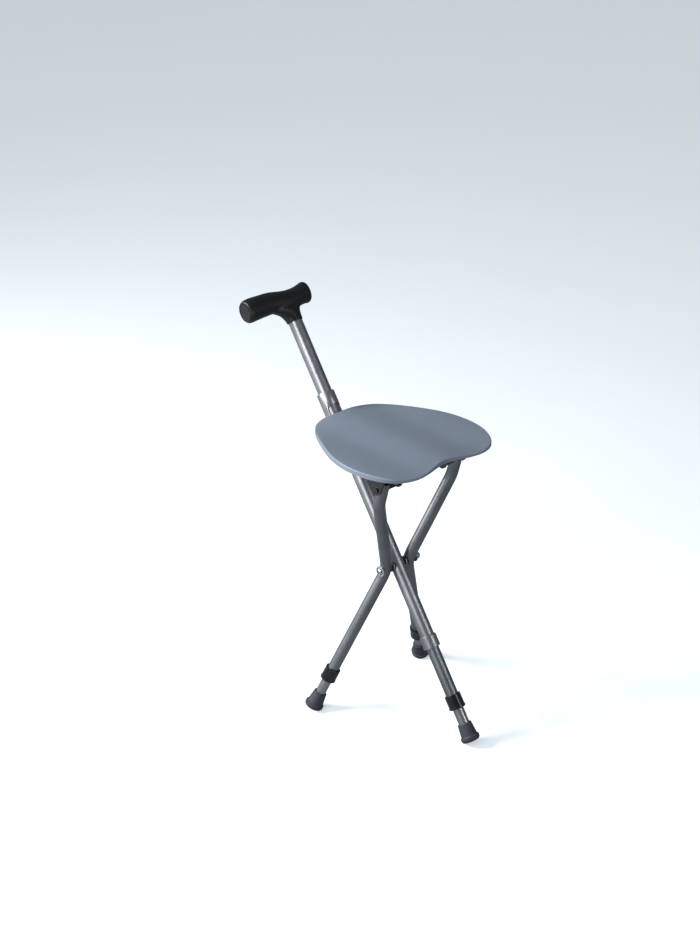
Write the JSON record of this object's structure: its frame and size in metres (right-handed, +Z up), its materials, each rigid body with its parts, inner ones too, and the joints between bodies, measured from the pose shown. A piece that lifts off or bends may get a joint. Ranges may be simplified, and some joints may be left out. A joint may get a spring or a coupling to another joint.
{
  "type": "walking stick seat",
  "caption": "Folding walking stick with a moulded seat on a tripod of bent tubes, a cross handle, twist-lock feet and rubber tips.",
  "frame": {"origin": "on the ground, at the middle of the part's bounding box along X and Y", "axes": "+X towards the front foot of the shaft, +Y towards the left-hand leg, +Z up"},
  "size_m": [0.5208, 0.301, 0.7087],
  "materials": {
    "shaft": "satin silver anodised",
    "legs": "satin grey anodised",
    "feet": "satin grey anodised",
    "collars": "metallic grey, satin",
    "seat": "fine moulded grain, blue-grey",
    "grip": "satin black",
    "rubber": "matt black",
    "steel": "bright zinc",
    "black": "satin black"
  },
  "bodies": {
    "frame": {"main_tube": "shaft", "lower_tube": "shaft", "joint_collar": "collars", "joint_rivet": "steel", "stop_ring": "collars", "stop_rivet": "steel", "handle_grip": "grip", "handle_end_cap": "grip", "handle_plug": "black", "handle_screw": "steel", "pivot_bolt": "steel", "pivot_nut": "steel", "pivot_outer_washers": "steel", "pivot_inner_washers": "steel", "pivot_spacers": "black", "pivot_sleeve": "steel", "front_collet": "black"},
    "left_leg": {"left_leg_tube": "legs", "left_leg_plug": "black", "left_leg_saddle": "black", "left_collet": "black"},
    "right_leg": {"right_leg_tube": "legs", "right_leg_plug": "black", "right_leg_saddle": "black", "right_collet": "black"},
    "seat": {"seat_plate": "seat", "rear_fork": "black", "bracket_screws": "steel", "fork_screws": "steel", "left_bracket": "black", "left_hinge_pin": "steel", "left_hinge_spacer": "black", "right_bracket": "black", "right_hinge_pin": "steel", "right_hinge_spacer": "black"},
    "slide_collar": {"slide_collar": "collars", "slide_pins": "steel"},
    "front_lock": {"front_lock_collar": "black"},
    "front_foot": {"front_foot_tube": "feet", "front_tip_washer": "steel", "front_rubber_tip": "rubber"},
    "left_lock": {"left_lock_collar": "black"},
    "left_foot": {"left_foot_tube": "feet", "left_tip_washer": "steel", "left_rubber_tip": "rubber"},
    "right_lock": {"right_lock_collar": "black"},
    "right_foot": {"right_foot_tube": "feet", "right_tip_washer": "steel", "right_rubber_tip": "rubber"}
  },
  "joints": [
    {"name": "left_leg_fold", "type": "hinge", "parent": "frame", "child": "left_leg", "pos_m": [0.05206, 0, 0.2805], "axis": [0, -1, 0], "range_deg": [0, 35.2]},
    {"name": "right_leg_fold", "type": "hinge", "parent": "frame", "child": "right_leg", "pos_m": [0.05206, 0, 0.2805], "axis": [0, -1, 0], "range_deg": [0, 35.2]},
    {"name": "seat_fold", "type": "hinge", "parent": "left_leg", "child": "seat", "pos_m": [0.10304, 0, 0.47906], "axis": [0, 1, 0], "range_deg": [0, 70.4]},
    {"name": "collar_fold", "type": "hinge", "parent": "seat", "child": "slide_collar", "pos_m": [-0.10146, 0, 0.49336], "axis": [0, -1, 0], "range_deg": [0, 35.2]},
    {"name": "front_lock_twist", "type": "hinge", "parent": "frame", "child": "front_lock", "pos_m": [0.05206, 0, 0.2805], "axis": [0.585, 0, -0.8111], "range_deg": [0, 90]},
    {"name": "front_foot_slide", "type": "slide", "parent": "frame", "child": "front_foot", "axis": [0.585, 0, -0.8111], "range_m": [-0.024, 0.05]},
    {"name": "left_lock_twist", "type": "hinge", "parent": "left_leg", "child": "left_lock", "pos_m": [0.05206, 0.02446, 0.2805], "axis": [-0.2314, 0.3665, -0.9012], "range_deg": [0, 90]},
    {"name": "left_foot_slide", "type": "slide", "parent": "left_leg", "child": "left_foot", "axis": [-0.2314, 0.3665, -0.9012], "range_m": [-0.024, 0.05]},
    {"name": "right_lock_twist", "type": "hinge", "parent": "right_leg", "child": "right_lock", "pos_m": [0.05206, -0.02446, 0.2805], "axis": [-0.2314, -0.3665, -0.9012], "range_deg": [0, 90]},
    {"name": "right_foot_slide", "type": "slide", "parent": "right_leg", "child": "right_foot", "axis": [-0.2314, -0.3665, -0.9012], "range_m": [-0.024, 0.05]}
  ],
  "couplings": [
    {"joint": "right_leg_fold", "follows": "left_leg_fold", "ratio": 1},
    {"joint": "seat_fold", "follows": "left_leg_fold", "ratio": 2},
    {"joint": "collar_fold", "follows": "left_leg_fold", "ratio": 1}
  ]
}
